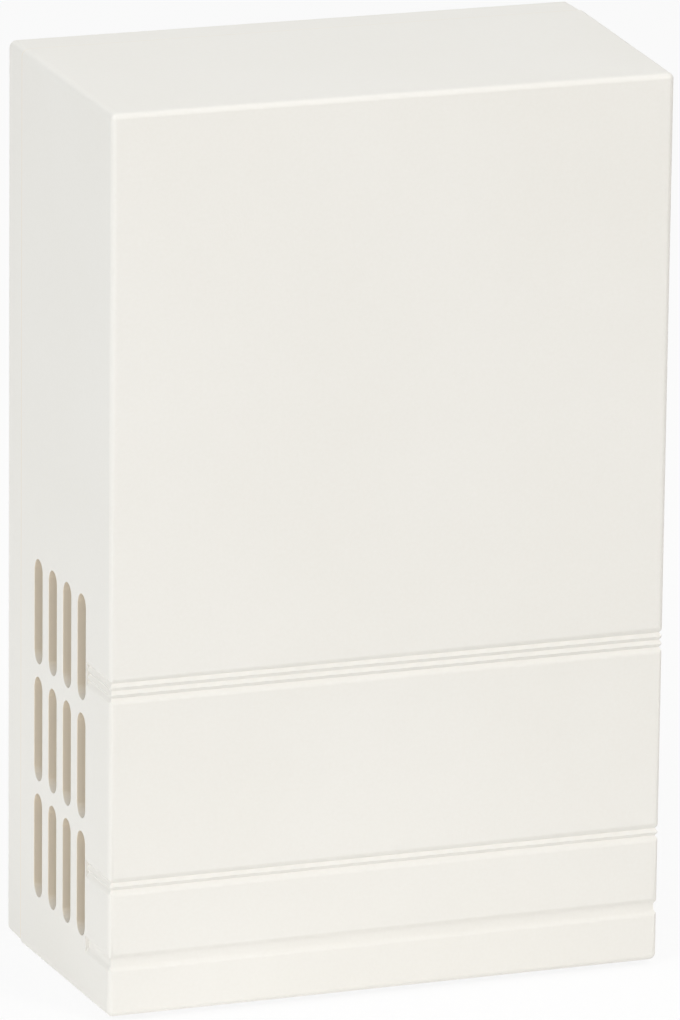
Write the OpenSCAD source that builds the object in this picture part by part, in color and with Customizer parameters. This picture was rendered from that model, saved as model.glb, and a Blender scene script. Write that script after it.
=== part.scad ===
// Two-note wired door chime: a drafted plastic case for the wall with a solenoid that drives a plunger
// between two tone bars. The wall is the plane y = 0, the front of the case faces -Y, and +Z is up.

/* [Case] */
// Width of the cover at its rim
body_w = 80; // [76:0.5:100]
// Height of the cover at its rim
body_h = 125; // [114:0.5:150]
// Depth from the wall to the front face
body_d = 41; // [38:0.5:50]
// Thickness of the cover's four side walls
wall = 2.2; // [1.6:0.1:2.6]
// Thickness of the cover's front wall
front_wall = 2.2; // [1.6:0.1:3]
// How far each side leans in from the rim to the front face
draft = 0.85; // [0.4:0.05:2]
// Rounding of the edges round the front face
edge_r = 0.9; // [0.4:0.1:1.4]
// Rounding of the four long corners
corner_r = 1; // [0.4:0.1:2]
// Height of the ribs inside the front wall
stiffener_h = 2; // [1:0.5:3]
// Thickness of those ribs
stiffener_t = 1.4; // [1:0.1:2]
// Distance of those ribs from the middle
stiffener_x = 24; // [15:1:30]
// Space between the ends of those ribs and the cover's top and bottom
stiffener_end = 8.8; // [6:0.2:20]

/* [Sound slots] */
// Width of one slot
slot_w = 3.2; // [2:0.05:3.6]
// Length of one slot, round ends included
slot_len = 14.55; // [10:0.05:16]
// Distance from the front face to the first column of slots
slot_first_y = 11; // [10:0.1:14]
// Step from one column to the next
slot_col_step = 5.7; // [5:0.01:6]
// Height of the middle of the lowest row above the cover's bottom edge
slot_first_z = 16.35; // [14:0.05:22]
// Step from one row to the next
slot_row_step = 16.45; // [16.2:0.05:18]
// Number of columns
slot_cols = 4; // [1:1:4]
// Number of rows
slot_rows = 3; // [1:1:4]

/* [Front grooves] */
// Depth of one groove
groove_depth = 0.5; // [0.4:0.05:1.2]
// Half the width of one groove at the surface
groove_half_w = 0.75; // [0.4:0.05:1.2]
// Step between grooves that lie together
groove_step = 1.03; // [0.8:0.01:1.6]
// Height of the triple groove's middle above the cover's bottom edge
triple_groove_z = 46.1; // [40:0.1:60]
// Height of the double groove's middle
double_groove_z = 19.05; // [15:0.1:25]
// Height of the single groove's middle
single_groove_z = 8.45; // [5:0.05:11]
// How far back the grooves run along the sides
groove_run = 9; // [5:0.5:20]
// Rounding of the lips above and below each group of grooves
groove_lip_r = 1; // [0.2:0.1:1.5]
// Width of the flat at the bottom of the single groove
single_groove_flat = 0.9; // [0.1:0.1:1.5]

/* [Base] */
// Depth of the rim that shows behind the cover
rim_d = 6; // [4.5:0.25:7]
// Step from the cover's edge in to the rim
rim_step = 0.1; // [0.1:0.05:0.8]
// How far the rim leans in towards the wall
rim_taper = 0; // [0:0.1:1.5]
// Width of the rim's own wall at the cover
rim_wall = 2.4; // [1.8:0.1:3]
// Thickness of the floor against the wall
floor_t = 2.5; // [2:0.1:3.5]
// Gap between the cover's edge and the rim
seam = 0.25; // [0.1:0.05:0.5]
// Width of one tab that guides the cover
tab_w = 13; // [8:0.5:18]
// Thickness of a tab
tab_t = 1.6; // [1.2:0.1:2.2]
// How far a tab reaches into the cover
tab_h = 5; // [3:0.5:7]
// Distance of the top and bottom tabs from the middle
tab_x = 22; // [15:0.5:28]
// Height of the side tabs above the middle
tab_z = 36; // [15:0.5:45]
// Free space between a tab and the cover
tab_gap = 0.15; // [0.1:0.05:0.3]

/* [Wall fixing] */
// Distance between the two wall screws
fixing_step = 60; // [54:0.5:64]
// Height of the wall screws above the middle
fixing_z = 22; // [15:0.5:28]
// Diameter of the wall screw holes
fixing_d = 4.5; // [3.5:0.1:5.5]
// Diameter of the raised seat round each hole
fixing_seat_d = 10; // [8:0.5:12]
// Height of that seat above the floor
fixing_seat_h = 1.5; // [0.5:0.1:3]
// Diameter of the cable entry
entry_d = 10; // [6:0.5:12]
// Distance of the cable entry to the right of the middle
entry_x = 15; // [8:0.5:25]
// Height of the cable entry above the cover's bottom edge
entry_z = 11; // [9.5:0.5:16]
// Height of the collar round the cable entry
entry_collar_h = 1; // [0.5:0.1:2]
// Width of that collar's wall
entry_collar_t = 1.5; // [1:0.1:3]

/* [Solenoid] */
// Height of the coil's middle
coil_z = 1; // [-1:0.5:1.5]
// Length of the bobbin
bobbin_len = 34; // [30:0.5:36]
// Diameter of the bobbin's end flanges
flange_d = 23; // [21.5:0.5:25]
// Thickness of those flanges
flange_t = 1.5; // [1:0.1:2]
// Wall of the bobbin's hub
hub_wall = 0.8; // [0.6:0.1:1.2]
// Diameter over the copper winding
winding_d = 20; // [16:0.5:20.5]
// Thickness of the insulating wrap
wrap_t = 0.2; // [0.1:0.05:0.4]
// Width of the insulating wrap
wrap_len = 16; // [8:0.5:24]
// Thickness of the steel yoke
yoke_t = 1.5; // [1:0.1:2]
// Width of the yoke
yoke_w = 20; // [16:0.5:23]
// How far the yoke's legs pass the plunger
yoke_reach = 9; // [7:0.5:11]
// Outer bend radius of the yoke
yoke_bend_r = 2.2; // [2.1:0.1:3]
// Distance between the yoke's two screws
ear_step = 33; // [32:0.5:36]
// Height of the yoke's ears
ear_h = 8; // [7:0.5:10]
// Rounding of the ears' corners
ear_r = 2; // [1:0.5:3]
// Height of the posts that carry the yoke
post_h = 4; // [3:0.5:5.5]
// Diameter of those posts
post_d = 7; // [6:0.5:8]
// Space between the yoke's back and the flanges
coil_gap = 0.5; // [0.3:0.1:1]

/* [Plunger] */
// Diameter of the steel core
core_d = 8; // [7:0.25:8.5]
// Length of the steel core
core_len = 36; // [33:0.5:40]
// How far the core's middle hangs below the coil's middle
core_drop = 5; // [4:0.5:7]
// Free space round the core in its guide tube
core_gap = 0.15; // [0.1:0.05:0.3]
// Wall of the brass guide tube
tube_wall = 0.4; // [0.3:0.05:0.6]
// Diameter of the strikers
striker_d = 5; // [4:0.25:6]
// Diameter of the pins that hold the strikers in the core
spigot_d = 3; // [2:0.25:3.5]
// Length of those pins
spigot_len = 5; // [3:0.5:7]
// Diameter of the upper striker's collar
collar_d = 13; // [12.5:0.25:15]
// Thickness of that collar
collar_t = 1.5; // [1:0.1:2.5]
// Length of the upper striker above its collar
upper_tip = 5; // [4:0.5:7]
// Length of the lower striker
lower_tip = 6; // [5:0.5:8]
// Travel up to the upper bar
stroke_up = 8; // [6:0.5:9]
// Travel down to the lower bar
stroke_down = 1.5; // [1:0.1:2.5]
// Space left at the end of both travels
stroke_gap = 0.1; // [0.05:0.05:0.3]
// Length of the spring at rest
spring_len = 12; // [11:0.5:13]
// Middle diameter of the spring
spring_d = 10.4; // [10.2:0.1:11]
// Diameter of the spring's wire
spring_wire = 0.6; // [0.4:0.05:0.8]
// Turns of the spring
spring_turns = 8; // [5:1:9]
// Thickness of the washer under the spring
seat_t = 0.8; // [0.5:0.1:1.5]
// Outer diameter of that washer
seat_d = 14; // [13:0.5:16]

/* [Tone bars] */
// Length of a bar
bar_len = 60; // [54:0.5:66]
// Width of a bar
bar_w = 24; // [18:0.5:26]
// Thickness of a bar
bar_t = 2.5; // [2:0.1:3]
// Distance of a bar's holes from its middle
bar_hole_x = 17; // [14:0.5:20]
// Diameter of those holes
bar_hole_d = 8; // [7:0.25:9]
// Diameter of the grommets' flanges
grommet_d = 11; // [10.5:0.25:13]
// Thickness of one flange
grommet_t = 1.6; // [1:0.1:2.2]
// Diameter of the pegs that carry the bars
peg_d = 4; // [3:0.25:4.5]
// Length of a peg past its clip
peg_over = 1.5; // [1:0.1:2.5]
// Diameter of the clips on the pegs
clip_d = 9; // [7:0.5:10]
// Thickness of the clips
clip_t = 0.5; // [0.3:0.1:0.8]
// Width of the arms that carry the pegs
arm_w = 10; // [8:0.5:11]
// Thickness of those arms
arm_t = 2.6; // [2:0.1:3.5]
// How far an arm passes its peg
arm_over = 6; // [5:0.5:8]
// Height of the rib under each arm
arm_rib_h = 3; // [2:0.5:6]
// Reach of that rib along the arm
arm_rib_l = 12; // [6:0.5:16]
// Thickness of that rib
arm_rib_t = 2; // [1.5:0.1:3]

/* [Terminals] */
// Width of the terminal block
block_w = 26; // [25:0.5:28]
// Height of the terminal block
block_h = 11; // [10:0.5:12]
// Depth of the terminal block
block_d = 11; // [10:0.5:14]
// Distance of the block's middle to the left of the middle
block_x = 18; // [17:0.25:18.5]
// Height of the block's middle above the cover's bottom edge
block_z = 10.5; // [10:0.25:12]
// Distance between the two terminals
terminal_step = 12; // [11:0.25:13]
// Thickness of the walls beside the terminals
fence_t = 1.6; // [1.2:0.1:2]
// Height of those walls in front of the block
fence_h = 3; // [2:0.25:5]
// Width of a terminal plate
plate_w = 8.6; // [7.5:0.1:9]
// Thickness of a terminal plate
plate_t = 1; // [0.8:0.1:1.5]
// Width of the soldering tag on a plate
tag_w = 4; // [3:0.25:5]
// Height of the tag above the block
tag_h = 3.5; // [3.25:0.25:6]
// Diameter of the hole in the tag
tag_hole_d = 1.6; // [1.4:0.1:2]
// Distance from the block to the screw in its ear
block_ear_x = 4; // [4:0.25:6]
// Thickness of that ear
block_ear_t = 3; // [2:0.25:4]
// Size of the square clamping washers
clamp_w = 7.4; // [6.5:0.1:7.5]
// Thickness of those washers
clamp_t = 1.2; // [0.8:0.1:1.6]
// Diameter of the terminal screws
terminal_screw_d = 3; // [2.5:0.25:3.5]
// Length of the terminal screws under the head
terminal_screw_len = 8; // [6:0.5:9]
// Diameter of the terminal screws' heads
terminal_head_d = 5.6; // [5:0.1:6.4]
// Height of those heads
terminal_head_h = 2.2; // [1.5:0.1:2.8]

/* [Fasteners] */
// Diameter of the yoke's and the block's screws
screw_d = 2.9; // [2.2:0.1:3.2]
// Diameter of their heads
screw_head_d = 5.6; // [5:0.1:6.2]
// Height of their heads
screw_head_h = 2; // [1.5:0.1:2.5]
// Depth that they reach into the base
screw_bite = 5; // [3:0.5:6]
// Width of the slot in a screw's head
screw_slot_w = 0.9; // [0.6:0.1:1.2]
// Depth of that slot
screw_slot_depth = 1; // [0.6:0.1:1.4]
// Free space round a part that is fixed in a hole
fit_gap = 0.05; // [0.03:0.01:0.1]

/* [Coil leads] */
// Diameter of the insulated lead
lead_d = 1.2; // [0.8:0.1:1.2]
// Diameter of the bare lead with the pigtail
bare_lead_d = 0.8; // [0.6:0.1:1]
// Middle radius of the pigtail
pigtail_r = 1.6; // [1.4:0.1:1.8]
// Turns of the pigtail
pigtail_turns = 5; // [3:1:5]
// Step of the pigtail
pigtail_step = 1.5; // [1.45:0.05:1.6]

/* [Hidden] */
$fn = 64;

// Overlap that keeps cuts and joined shapes clean
eps = 0.5;
// Facets of the rounded case corners
hull_fn = 32;
// Sides of a wire, and its rings for one turn of a coil
wire_sides = 6;
turn_rings = 8;
lead_sides = 8;
// Thickness of the thin slices that the case's hulls span
slice = 0.01;
// Steps in the curve of a groove's lip
lip_steps = 5;
// How far the slot of each screw is turned
yoke_slot_turns = [20, -35];
block_slot_turn = 50;
left_slot_turn = 65;
right_slot_turn = -20;

// Case
cover_d = body_d - rim_d;
cover_bottom = -body_h / 2;
rim_y = -rim_d;
front_y = -body_d;
floor_y = -floor_t;
tab_front_y = rim_y - tab_h;
function lean(y) = draft * (rim_y - y) / cover_d;
inner_half_w = body_w / 2 - wall;
inner_half_h = body_h / 2 - wall;
tab_half_w = inner_half_w - lean(tab_front_y) - tab_gap;
tab_half_h = inner_half_h - lean(tab_front_y) - tab_gap;

// Solenoid, measured along the plunger
yoke_back_y = floor_y - post_h;
axis_y = yoke_back_y - yoke_t - coil_gap - flange_d / 2;
leg_inner = bobbin_len / 2 + fit_gap;
leg_outer = leg_inner + yoke_t;
tube_id = core_d + 2 * core_gap;
tube_od = tube_id + 2 * tube_wall;
hub_id = tube_od + 2 * fit_gap;
hub_od = hub_id + 2 * hub_wall;
winding_id = hub_od + 2 * fit_gap;
winding_len = bobbin_len - 2 * flange_t - 2 * fit_gap;
core_top = coil_z - core_drop + core_len / 2;
core_bottom = core_top - core_len;
seat_z = coil_z + leg_outer;
spring_z = seat_z + seat_t;
collar_z = spring_z + spring_len;
upper_tip_z = collar_z + collar_t + upper_tip;
lower_tip_z = core_bottom - lower_tip;

// Tone bars: each bar's lower face, and the arm that carries it
upper_bar_z = upper_tip_z + stroke_up + stroke_gap;
lower_bar_z = lower_tip_z - stroke_down - stroke_gap - bar_t;
peg_len = 2 * grommet_t + bar_t + clip_t + peg_over;
arm_front_y = axis_y - arm_over;

// Terminals
block_front_y = floor_y - block_d;
block_mid_z = cover_bottom + block_z;
block_top_z = block_mid_z + block_h / 2;
plate_front_y = block_front_y - plate_t;
clamp_front_y = plate_front_y - clamp_t;
tag_z = block_top_z + tag_h / 2;
left_terminal_x = -block_x - terminal_step / 2;
right_terminal_x = -block_x + terminal_step / 2;
block_screw_x = -block_x + block_w / 2 + block_ear_x;

// Routes of the coil's two leads, from the winding to the tags
right_lead_points = [
    [-10.75, -20, -12.5], [-11.4, -17, -13], [-12.4, -13, -16], [-12.4, -9, -21], [-11, -5.8, -26],
    [-9.5, -5, -31], [-9.5, -5.2, -37.5], [-10.8, -6.6, -43.2], [-12, -10, -44.75], [-12, -13, -44.75],
    [-12, -15.6, -44.75],
];
left_lead_start_points = [
    [-10.55, -20, -10], [-11.2, -17, -10.4], [-14, -12, -12], [-20, -7, -17.5], [-25, -5, -25],
    [-27, -4.8, -33], [-29, -4.2, -40.5], [-31, -3.5, -45.9], [-33, -3.3, -47.4],
];
pigtail_top = [-34.8, -4.9, -47.5];
left_lead_end_points = [
    [-33, -6.8, -54.4], [-32.4, -8.2, -52.5], [-32.4, -8.5, -49], [-32, -8.5, -46.4], [-30.6, -8.5, -45],
    [-27.5, -8.6, -44.75], [-25, -9.2, -44.75], [-24, -11, -44.75], [-24, -13.4, -44.75],
    [-24, -15.6, -44.75],
];

module rounded_rect(w, h, r) {
    square([w - 2 * r, h], center = true);
    square([w, h - 2 * r], center = true);
    for (sx = [-1, 1], sz = [-1, 1])
        translate([sx * (w / 2 - r), sz * (h / 2 - r)])
            circle(r);
}

// Extrudes an outline drawn in X and Z from y_back towards the front
module forward(y_back, depth) {
    translate([0, y_back, 0])
        rotate([90, 0, 0])
            linear_extrude(depth)
                children();
}

// Extrudes an outline drawn in Y and Z along X, about the middle
module sideways(width) {
    rotate([90, 0, 90])
        translate([0, 0, -width / 2])
            linear_extrude(width)
                children();
}

module cover_outside() {
    hull() {
        for (sx = [-1, 1], sz = [-1, 1]) {
            translate([sx * (body_w / 2 - corner_r), rim_y, sz * (body_h / 2 - corner_r)])
                rotate([90, 0, 0])
                    cylinder(r = corner_r, h = slice, $fn = hull_fn);
            translate([
                sx * (body_w / 2 - draft - edge_r),
                front_y + edge_r,
                sz * (body_h / 2 - draft - edge_r),
            ])
                rotate([90, 0, 0])
                    sphere(r = edge_r, $fn = hull_fn);
        }
    }
}

module cover_hollow(y) {
    forward(y, slice)
        square(2 * [inner_half_w - lean(y), inner_half_h - lean(y)], center = true);
}

module cover_inside() {
    hull() {
        cover_hollow(rim_y + eps);
        cover_hollow(front_y + front_wall + slice);
    }
}

// Section across a group of grooves: X is the height above their bottom, Y runs from groove to groove
module groove_outline(count, flat) {
    reach = groove_depth + eps;
    flank = atan2(groove_depth, groove_half_w);
    half_span = (count - 1) / 2 * groove_step + flat / 2;
    lip_x = groove_depth + slice - groove_lip_r;
    lip_y = half_span + groove_half_w + groove_lip_r * tan(flank / 2);
    tooth_x = groove_depth * groove_step / 2 / groove_half_w;
    lip = [
        for (i = [0 : lip_steps])
            let (turn = flank * i / lip_steps)
                [lip_x + groove_lip_r * cos(turn), lip_y - groove_lip_r * sin(turn)]
    ];
    valleys = flat > 0
        ? [[0, flat / 2], [0, -flat / 2]]
        : [for (i = [0 : 2 * count - 2]) [i % 2 * tooth_x, half_span - i * groove_step / 2]];
    lower_lip = [for (i = [lip_steps : -1 : 0]) [lip[i].x, -lip[i].y]];
    polygon(concat([[reach, lip_y]], lip, valleys, lower_lip, [[reach, -lip_y]]));
}

module front_groove(z, count, flat) {
    translate([0, front_y + groove_depth, cover_bottom + z])
        sideways(body_w)
            mirror([1, 0])
                groove_outline(count, flat);
}

// A group of grooves along both sides, from the front edge back
module side_groove(z, count, flat) {
    run_y = front_y + groove_run;
    for (side = [0, 1])
        mirror([side, 0, 0])
            translate([body_w / 2 - lean(run_y) - groove_depth, run_y, cover_bottom + z])
                rotate([0, 0, -atan2(draft, cover_d)])
                    forward(0, groove_run + 2 * eps)
                        groove_outline(count, flat);
}

module groove_group(middle_z, count, flat = 0) {
    front_groove(middle_z, count, flat);
    side_groove(middle_z, count, flat);
}

// A slot that runs through both side walls
module sound_slot(y, z) {
    straight = slot_len - slot_w;
    translate([0, y, z]) {
        cube([body_w + 2 * eps, slot_w, straight], center = true);
        for (end = [-1, 1])
            translate([0, 0, end * straight / 2])
                rotate([0, 90, 0])
                    cylinder(d = slot_w, h = body_w + 2 * eps, center = true);
    }
}

module front_cover() {
    color("ivory") {
        difference() {
            cover_outside();
            cover_inside();
            groove_group(triple_groove_z, 3);
            groove_group(double_groove_z, 2);
            groove_group(single_groove_z, 1, single_groove_flat);
            for (col = [0 : slot_cols - 1], row = [0 : slot_rows - 1])
                sound_slot(
                    front_y + slot_first_y + col * slot_col_step,
                    cover_bottom + slot_first_z + row * slot_row_step
                );
        }
        for (side = [-1, 1])
            translate([
                side * stiffener_x - stiffener_t / 2,
                front_y + front_wall - eps,
                stiffener_end - inner_half_h,
            ])
                cube([stiffener_t, stiffener_h + eps, 2 * (inner_half_h - stiffener_end)]);
    }
}

module rim_block() {
    back_w = body_w - 2 * (rim_step + rim_taper);
    back_h = body_h - 2 * (rim_step + rim_taper);
    front_w = body_w - 2 * rim_step;
    front_h = body_h - 2 * rim_step;
    hull() {
        for (sx = [-1, 1], sz = [-1, 1]) {
            translate([sx * (back_w / 2 - corner_r), 0, sz * (back_h / 2 - corner_r)])
                rotate([90, 0, 0])
                    cylinder(r = corner_r, h = slice, $fn = hull_fn);
            translate([sx * (front_w / 2 - corner_r), rim_y + seam + slice, sz * (front_h / 2 - corner_r)])
                rotate([90, 0, 0])
                    cylinder(r = corner_r, h = slice, $fn = hull_fn);
        }
    }
}

// Tabs that stand on the floor inside the rim and guide the cover
module guide_tabs() {
    for (sx = [-1, 1], sz = [-1, 1])
        translate([sx * tab_x - tab_w / 2, tab_front_y, sz * (tab_half_h - tab_t / 2) - tab_t / 2])
            cube([tab_w, floor_y - tab_front_y + eps, tab_t]);
    for (sx = [-1, 1])
        translate([sx * (tab_half_w - tab_t / 2) - tab_t / 2, tab_front_y, tab_z - tab_w / 2])
            cube([tab_t, floor_y - tab_front_y + eps, tab_w]);
}

// Two arms with a peg each; bar_z is the lower face of the bar that they carry
module bar_arms(bar_z) {
    arm_top = bar_z - grommet_t;
    for (side = [-1, 1])
        translate([side * bar_hole_x, 0, 0]) {
            translate([-arm_w / 2, arm_front_y, arm_top - arm_t])
                cube([arm_w, floor_y - arm_front_y + eps, arm_t]);
            sideways(arm_rib_t)
                polygon([
                    [floor_y + eps, arm_top - arm_t / 2],
                    [floor_y - arm_rib_l, arm_top - arm_t / 2],
                    [floor_y - arm_rib_l, arm_top - arm_t],
                    [floor_y, arm_top - arm_t - arm_rib_h],
                    [floor_y + eps, arm_top - arm_t - arm_rib_h],
                ]);
            translate([0, axis_y, arm_top - arm_t / 2])
                cylinder(d = peg_d, h = peg_len + arm_t / 2);
        }
}

module rear_base() {
    hole_len = floor_t + fixing_seat_h;
    post_places = [[-ear_step / 2, coil_z], [ear_step / 2, coil_z], [block_screw_x, block_mid_z]];
    color("ivory")
        difference() {
            union() {
                difference() {
                    rim_block();
                    forward(floor_y, rim_d)
                        square([body_w, body_h] - 2 * (rim_step + rim_wall) * [1, 1], center = true);
                }
                guide_tabs();
                bar_arms(upper_bar_z);
                bar_arms(lower_bar_z);
                for (side = [-1, 1])
                    translate([side * fixing_step / 2, floor_y + eps, fixing_z])
                        rotate([90, 0, 0])
                            cylinder(d = fixing_seat_d, h = fixing_seat_h + eps);
                for (place = post_places)
                    translate([place.x, floor_y + eps, place.y])
                        rotate([90, 0, 0])
                            cylinder(d = post_d, h = post_h + eps);
                translate([entry_x, floor_y + eps, cover_bottom + entry_z])
                    rotate([90, 0, 0])
                        cylinder(d = entry_d + 2 * entry_collar_t, h = entry_collar_h + eps);
            }
            for (side = [-1, 1])
                translate([side * fixing_step / 2, eps, fixing_z])
                    rotate([90, 0, 0])
                        cylinder(d = fixing_d, h = hole_len + 2 * eps);
            for (place = post_places)
                translate([place.x, yoke_back_y + screw_bite, place.y])
                    rotate([90, 0, 0])
                        cylinder(d = screw_d + 2 * fit_gap, h = screw_bite + eps);
            translate([entry_x, eps, cover_bottom + entry_z])
                rotate([90, 0, 0])
                    cylinder(d = entry_d, h = floor_t + entry_collar_h + 2 * eps);
        }
}

module coil_bobbin() {
    color("whitesmoke")
        translate([0, axis_y, coil_z])
            rotate_extrude()
                difference() {
                    union() {
                        translate([0, -bobbin_len / 2])
                            square([hub_od / 2, bobbin_len]);
                        for (end = [-1, 1])
                            translate([0, end * (bobbin_len - flange_t) / 2 - flange_t / 2])
                                square([flange_d / 2, flange_t]);
                    }
                    translate([0, -bobbin_len])
                        square([hub_id / 2, 2 * bobbin_len]);
                }
}

module sleeve(outer_d, inner_d, h) {
    difference() {
        cylinder(d = outer_d, h = h, center = true);
        cylinder(d = inner_d, h = h + 2 * eps, center = true);
    }
}

module coil_winding() {
    color("peru")
        translate([0, axis_y, coil_z])
            sleeve(winding_d, winding_id, winding_len);
}

module coil_wrap() {
    color("khaki")
        translate([0, axis_y, coil_z])
            sleeve(winding_d + 2 * (fit_gap + wrap_t), winding_d + 2 * fit_gap, wrap_len);
}

module guide_tube() {
    color("goldenrod")
        translate([0, axis_y, coil_z])
            sleeve(tube_od, tube_id, 2 * leg_outer);
}

module solenoid_yoke() {
    depth = yoke_back_y - axis_y + yoke_reach;
    inner_bend_r = yoke_bend_r - yoke_t;
    color("silver")
        difference() {
            union() {
                translate([0, 0, coil_z])
                    sideways(yoke_w)
                        difference() {
                            translate([yoke_back_y - depth, 0])
                                rounded_rect(2 * depth, 2 * leg_outer, yoke_bend_r);
                            translate([yoke_back_y - yoke_t - depth, 0])
                                rounded_rect(2 * depth, 2 * leg_inner, inner_bend_r);
                            translate([yoke_back_y - 3 * depth, -2 * leg_outer])
                                square([2 * depth, 4 * leg_outer]);
                        }
                translate([0, 0, coil_z])
                    forward(yoke_back_y, yoke_t)
                        rounded_rect(ear_step + ear_h, ear_h, ear_r);
            }
            translate([0, axis_y, coil_z])
                cylinder(d = tube_od + 2 * fit_gap, h = 2 * leg_outer + 2 * eps, center = true);
            for (side = [-1, 1])
                translate([side * ear_step / 2, yoke_back_y + eps, coil_z])
                    rotate([90, 0, 0])
                        cylinder(d = screw_d + 2 * fit_gap, h = yoke_t + 2 * eps);
        }
}

// A pan-head screw along Y with its head's underside at the origin, pointing to the wall
module slotted_screw(d, len, head_d, head_h, slot_turn) {
    rotate([-90, 0, 0])
        cylinder(d = d, h = len);
    difference() {
        rotate([90, 0, 0])
            cylinder(d = head_d, h = head_h);
        rotate([0, slot_turn, 0])
            translate([0, -head_h, 0])
                cube([head_d + 2 * eps, 2 * screw_slot_depth, screw_slot_w], center = true);
    }
}

module yoke_screws() {
    shank = yoke_t + screw_bite - eps;
    color("lightsteelblue")
        for (i = [0, 1])
            translate([(2 * i - 1) * ear_step / 2, yoke_back_y - yoke_t, coil_z])
                slotted_screw(screw_d, shank, screw_head_d, screw_head_h, yoke_slot_turns[i]);
}

module plunger_core() {
    bore = spigot_d + 2 * fit_gap;
    color("slategray")
        translate([0, axis_y, core_bottom])
            difference() {
                cylinder(d = core_d, h = core_len);
                translate([0, 0, -eps])
                    cylinder(d = bore, h = spigot_len + 2 * eps);
                translate([0, 0, core_len - spigot_len - eps])
                    cylinder(d = bore, h = spigot_len + 2 * eps);
            }
}

// A striker of the given length from its foot on the core to its domed tip
module striker(len) {
    dome_r = striker_d / 2;
    translate([0, 0, -spigot_len])
        cylinder(d = spigot_d, h = spigot_len + eps);
    cylinder(d = striker_d, h = len - dome_r);
    translate([0, 0, len - dome_r])
        sphere(r = dome_r);
}

module upper_striker() {
    color("white")
        translate([0, axis_y, 0]) {
            translate([0, 0, core_top])
                striker(upper_tip_z - core_top);
            translate([0, 0, collar_z])
                cylinder(d = collar_d, h = collar_t);
        }
}

module lower_striker() {
    color("white")
        translate([0, axis_y, core_bottom])
            mirror([0, 0, 1])
                striker(lower_tip);
}

module spring_seat() {
    color("sienna")
        translate([0, axis_y, seat_z + seat_t / 2])
            sleeve(seat_d, tube_id, seat_t);
}

function unit(v) = v / norm(v);
function flat_to(v, t) = unit(v - (v * t) * t);
function heading(path, i) = unit(path[min(i + 1, len(path) - 1)] - path[max(i - 1, 0)]);
function any_side(t) = abs(t.z) < 0.8 ? [0, 0, 1] : [1, 0, 0];

// Cross directions along a path, each carried over from the one before it
function carried_sides(path) = [
    for (
        i = 0, v = flat_to(any_side(heading(path, 0)), heading(path, 0));
        i < len(path);
        i = i + 1, v = i < len(path) ? flat_to(v, heading(path, i)) : v
    ) v
];

// A round wire along a path
module wire(path, d, sides) {
    across = carried_sides(path);
    points = [
        for (i = [0 : len(path) - 1], k = [0 : sides - 1])
            let (a = 360 * k / sides, t = heading(path, i), u = across[i])
                path[i] + d / 2 * (cos(a) * u + sin(a) * cross(t, u))
    ];
    last = (len(path) - 1) * sides;
    faces = concat(
        [for (k = [1 : sides - 2]) [0, k, k + 1]],
        [for (k = [1 : sides - 2]) [last, last + k + 1, last + k]],
        [
            for (i = [0 : len(path) - 2], k = [0 : sides - 1], half = [0, 1])
                let (a = i * sides + k, b = i * sides + (k + 1) % sides)
                    half == 0 ? [a, a + sides, b] : [b, a + sides, b + sides]
        ]
    );
    polyhedron(points = points, faces = faces);
}

// Points of an upright coil from its foot, turning from the given angle
function coil_path(foot, r, step, turns, from) = [
    for (i = [0 : turns * turn_rings])
        let (a = from + 360 * i / turn_rings)
            foot + [r * cos(a), r * sin(a), step * i / turn_rings]
];

// Least free space between a wire's points that lie more than half a turn apart
function self_gap(path, d) = min([
    for (i = [0 : len(path) - 1], k = [0 : len(path) - 1])
        if (k - i > turn_rings / 2) norm(path[k] - path[i])
]) - d;

spring_step = (spring_len - spring_wire - 2 * fit_gap) / spring_turns;
spring_path = coil_path(
    [0, axis_y, spring_z + spring_wire / 2 + fit_gap], spring_d / 2, spring_step, spring_turns, 0
);

module plunger_spring() {
    color("gainsboro")
        wire(spring_path, spring_wire, wire_sides);
    echo(plunger_spring_gap = self_gap(spring_path, spring_wire));
}

// A smooth curve through points, with the given number of steps between two of them
function curve_through(p, steps) = [
    for (i = [0 : len(p) - 2], k = [0 : i == len(p) - 2 ? steps : steps - 1])
        let (
            t = k / steps,
            a = p[max(i - 1, 0)],
            b = p[i],
            c = p[i + 1],
            d = p[min(i + 2, len(p) - 1)]
        )
            b + t / 2 * (c - a + t * (2 * a - 5 * b + 4 * c - d + t * (3 * b - a - 3 * c + d)))
];

// The pigtail turns half a turn short of its count, so that it leaves at the front
pigtail_path = coil_path(pigtail_top, pigtail_r, -pigtail_step, pigtail_turns - 0.5, 90);
pigtail_foot = pigtail_path[len(pigtail_path) - 1];
lead_steps = 2;

module left_coil_lead() {
    start = curve_through(concat(left_lead_start_points, [pigtail_path[0]]), lead_steps);
    finish = curve_through(concat([pigtail_foot], left_lead_end_points), lead_steps);
    path = concat(start, [for (i = [1 : len(pigtail_path) - 2]) pigtail_path[i]], finish);
    color("chocolate")
        wire(path, bare_lead_d, wire_sides);
    echo(left_coil_lead_gap = self_gap(path, bare_lead_d));
}

module right_coil_lead() {
    color("firebrick")
        wire(curve_through(right_lead_points, lead_steps), lead_d, lead_sides);
}

module tone_bar(z) {
    color("lightgray")
        translate([0, axis_y, z])
            difference() {
                translate([-bar_len / 2, -bar_w / 2, 0])
                    cube([bar_len, bar_w, bar_t]);
                for (side = [-1, 1])
                    translate([side * bar_hole_x, 0, -eps])
                        cylinder(d = bar_hole_d, h = bar_t + 2 * eps);
            }
}

module upper_tone_bar() {
    tone_bar(upper_bar_z);
}

module lower_tone_bar() {
    tone_bar(lower_bar_z);
}

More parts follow.
